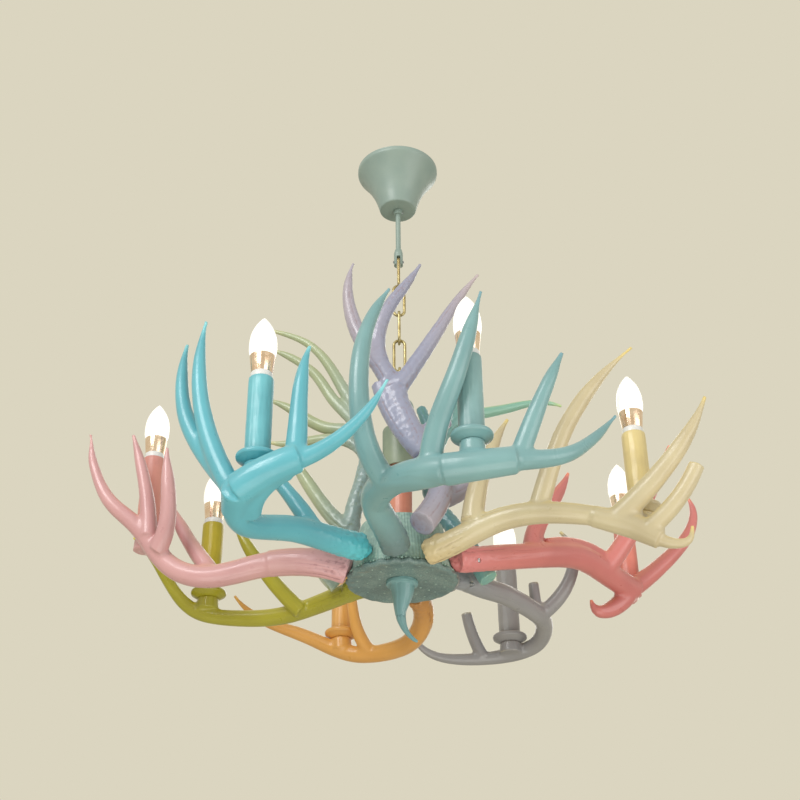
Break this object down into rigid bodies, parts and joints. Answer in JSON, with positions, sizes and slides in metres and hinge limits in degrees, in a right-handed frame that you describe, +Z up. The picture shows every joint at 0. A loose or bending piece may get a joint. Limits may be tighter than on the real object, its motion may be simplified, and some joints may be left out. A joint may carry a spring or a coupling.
{
  "type": "antler chandelier",
  "caption": "Multi-coloured cast antler chandelier with candle lights, hung on a chain below a bell canopy.",
  "frame": {"origin": "middle of the two ceiling screws, on the ceiling", "axes": "+Z up into the ceiling, +X to the right and +Y away from the viewer of the picture"},
  "size_m": [0.9133, 0.6046, 0.8087],
  "materials": {
    "zinc_steel": "zinc plated, hidden",
    "block_plastic": "matt nylon",
    "sage_paint": "satin sage-grey paint",
    "chain_steel": "pale brass paint",
    "salmon_paint": "satin salmon paint",
    "hub_resin": "pale teal cast resin",
    "dish_paint": "slate teal, hammered",
    "finial_resin": "teal cast resin",
    "rose_resin": "glossy painted cast resin",
    "turquoise_resin": "glossy painted cast resin",
    "teal_resin": "glossy painted cast resin",
    "lilac_resin": "glossy painted cast resin",
    "cream_resin": "glossy painted cast resin",
    "coral_resin": "glossy painted cast resin",
    "pewter_resin": "glossy painted cast resin",
    "amber_resin": "glossy painted cast resin",
    "lime_resin": "glossy painted cast resin",
    "sage_resin": "glossy painted cast resin",
    "mint_resin": "glossy painted cast resin",
    "bulb_glass": "opal glass with metal trim",
    "holder_plastic": "white thermoplastic"
  },
  "bodies": {
    "ceiling_fixing": {"ceiling_bracket": "zinc_steel", "rod_nuts": "zinc_steel", "terminal_block": "block_plastic", "hanger_rod": "sage_paint", "rod_fork": "sage_paint", "fork_pin": "zinc_steel"},
    "canopy_set": {"canopy": "sage_paint", "canopy_collar": "sage_paint", "collar_set_screw": "zinc_steel"},
    "link_1": {"chain_link_1": "chain_steel"},
    "link_2": {"chain_link_2": "chain_steel"},
    "link_3": {"chain_link_3": "chain_steel"},
    "link_4": {"chain_link_4": "chain_steel"},
    "link_5": {"chain_link_5": "chain_steel"},
    "bulb_body_rose": {"bulb_rose": "bulb_glass"},
    "bulb_body_turquoise": {"bulb_turquoise": "bulb_glass"},
    "bulb_body_teal": {"bulb_teal": "bulb_glass"},
    "bulb_body_cream": {"bulb_cream": "bulb_glass"},
    "bulb_body_coral": {"bulb_coral": "bulb_glass"},
    "bulb_body_pewter": {"bulb_pewter": "bulb_glass"},
    "bulb_body_amber": {"bulb_amber": "bulb_glass"},
    "bulb_body_lime": {"bulb_lime": "bulb_glass"},
    "chandelier": {"tie_rod": "zinc_steel", "antler_studs": "zinc_steel", "candle_nipples": "zinc_steel", "column_cap": "sage_paint", "top_loop": "sage_paint", "loop_lock_nut": "sage_paint", "column_pipe": "salmon_paint", "hub_body": "hub_resin", "hub_dish": "dish_paint", "finial": "finial_resin", "antler_rose": "rose_resin", "antler_turquoise": "turquoise_resin", "antler_teal": "teal_resin", "antler_lilac": "lilac_resin", "antler_cream": "cream_resin", "antler_coral": "coral_resin", "antler_pewter": "pewter_resin", "antler_amber": "amber_resin", "antler_lime": "lime_resin", "antler_sage": "sage_resin", "antler_mint": "mint_resin", "candle_pan_rose": "rose_resin", "candle_sleeve_rose": "rose_resin", "candle_pan_turquoise": "turquoise_resin", "candle_sleeve_turquoise": "turquoise_resin", "candle_pan_teal": "teal_resin", "candle_sleeve_teal": "teal_resin", "candle_pan_cream": "cream_resin", "candle_sleeve_cream": "cream_resin", "candle_pan_coral": "coral_resin", "candle_sleeve_coral": "coral_resin", "candle_pan_pewter": "pewter_resin", "candle_sleeve_pewter": "pewter_resin", "candle_pan_amber": "amber_resin", "candle_sleeve_amber": "amber_resin", "candle_pan_lime": "lime_resin", "candle_sleeve_lime": "lime_resin", "lampholders": "holder_plastic"}
  },
  "joints": [
    {"name": "canopy_lower", "type": "slide", "parent": "ceiling_fixing", "child": "canopy_set", "axis": [0, 0, -1], "range_m": [0, 0.065]},
    {"name": "chain_top_swing", "type": "hinge", "parent": "ceiling_fixing", "child": "link_1", "pos_m": [0, 0, -0.184], "axis": [1, 0, 0], "range_deg": [-35, 35]},
    {"name": "chain_joint_1", "type": "hinge", "parent": "link_1", "child": "link_2", "pos_m": [0, 0, -0.23495], "axis": [0, 1, 0], "range_deg": [-10, 10]},
    {"name": "chain_joint_2", "type": "hinge", "parent": "link_2", "child": "link_3", "pos_m": [0, 0, -0.28565], "axis": [1, 0, 0], "range_deg": [-10, 10]},
    {"name": "chain_joint_3", "type": "hinge", "parent": "link_3", "child": "link_4", "pos_m": [0, 0, -0.33635], "axis": [0, 1, 0], "range_deg": [-10, 10]},
    {"name": "chain_joint_4", "type": "hinge", "parent": "link_4", "child": "link_5", "pos_m": [0, 0, -0.38705], "axis": [1, 0, 0], "range_deg": [-10, 10]},
    {"name": "loop_swing", "type": "hinge", "parent": "link_5", "child": "chandelier", "pos_m": [0, 0, -0.43775], "axis": [0, 1, 0], "range_deg": [-8, 8]},
    {"name": "bulb_out_rose", "type": "slide", "parent": "chandelier", "child": "bulb_body_rose", "axis": [0, 0, 1], "range_m": [0, 0.03]},
    {"name": "bulb_out_turquoise", "type": "slide", "parent": "chandelier", "child": "bulb_body_turquoise", "axis": [0, 0, 1], "range_m": [0, 0.03]},
    {"name": "bulb_out_teal", "type": "slide", "parent": "chandelier", "child": "bulb_body_teal", "axis": [0, 0, 1], "range_m": [0, 0.03]},
    {"name": "bulb_out_cream", "type": "slide", "parent": "chandelier", "child": "bulb_body_cream", "axis": [0, 0, 1], "range_m": [0, 0.03]},
    {"name": "bulb_out_coral", "type": "slide", "parent": "chandelier", "child": "bulb_body_coral", "axis": [0, 0, 1], "range_m": [0, 0.03]},
    {"name": "bulb_out_pewter", "type": "slide", "parent": "chandelier", "child": "bulb_body_pewter", "axis": [0, 0, 1], "range_m": [0, 0.03]},
    {"name": "bulb_out_amber", "type": "slide", "parent": "chandelier", "child": "bulb_body_amber", "axis": [0, 0, 1], "range_m": [0, 0.03]},
    {"name": "bulb_out_lime", "type": "slide", "parent": "chandelier", "child": "bulb_body_lime", "axis": [0, 0, 1], "range_m": [0, 0.03]}
  ]
}
